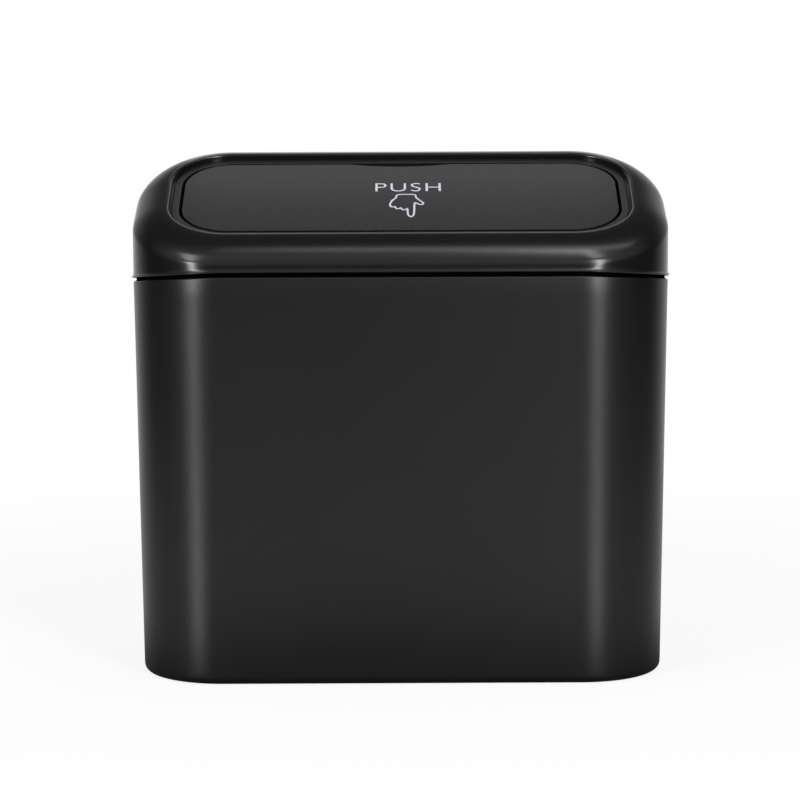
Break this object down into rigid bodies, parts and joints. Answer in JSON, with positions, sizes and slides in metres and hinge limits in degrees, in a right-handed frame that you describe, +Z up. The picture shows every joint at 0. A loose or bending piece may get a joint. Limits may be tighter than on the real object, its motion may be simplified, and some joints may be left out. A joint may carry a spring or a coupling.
{
  "type": "car trash bin",
  "caption": "Slim black plastic car bin: a drafted tub, a lift-off collar with a sloped lid, and a sprung flap that is pushed down.",
  "frame": {"origin": "centre of the bin's base, on the surface that it stands on", "axes": "+X along the long side, +Y to the rear where the flap's hinge is, +Z up"},
  "size_m": [0.156, 0.065, 0.1504],
  "materials": {
    "tub_plastic": "satin moulded",
    "collar_plastic": "satin moulded",
    "frame_plastic": "matte moulded",
    "flap_plastic": "fine texture, printed",
    "screw_steel": "zinc plated",
    "rod_steel": "ground",
    "spring_steel": "drawn wire"
  },
  "bodies": {
    "bin": {"tub": "tub_plastic"},
    "lid": {"collar": "collar_plastic", "hinge_frame": "frame_plastic", "frame_screws": "screw_steel", "hinge_rod": "rod_steel", "rod_clips": "screw_steel", "spring_left": "spring_steel", "spring_right": "spring_steel"},
    "push_flap": {"flap": "flap_plastic"}
  },
  "joints": [
    {"name": "collar_lift", "type": "slide", "parent": "bin", "child": "lid", "axis": [0, 0, 1], "range_m": [0, 0.06]},
    {"name": "flap_hinge", "type": "hinge", "parent": "lid", "child": "push_flap", "pos_m": [0, 0.02102, 0.14175], "axis": [1, 0, 0], "range_deg": [0, 66], "stiffness_Nm_per_rad": 0.03, "springref_deg": -28.65, "deforming": ["spring_left", "spring_right"]}
  ]
}
